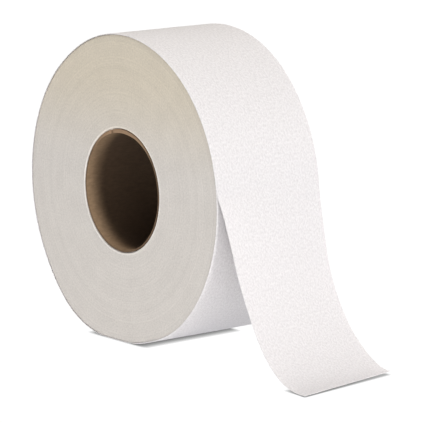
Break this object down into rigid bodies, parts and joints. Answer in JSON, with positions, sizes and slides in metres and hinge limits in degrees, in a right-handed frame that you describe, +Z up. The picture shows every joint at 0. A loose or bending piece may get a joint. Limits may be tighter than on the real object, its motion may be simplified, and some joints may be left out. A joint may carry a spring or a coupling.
{
  "type": "toilet paper roll",
  "caption": "Jumbo roll of plain white toilet tissue wound on a paperboard core, standing on its rim with the free end of the sheet hanging down to the ground.",
  "frame": {"origin": "middle of the core's bore, on the roll's axis and halfway across the web", "axes": "+Y along the roll's axis towards the far end face, +Z up, +X towards the side where the free end of the sheet leaves"},
  "size_m": [0.3255, 0.0977, 0.2186],
  "materials": {
    "paperboard": "grey-brown spiral-wound chipboard, matt",
    "tissue": "white creped tissue, matt and soft"
  },
  "bodies": {
    "root": {"core": "paperboard", "tissue_web": "tissue"}
  },
  "joints": []
}
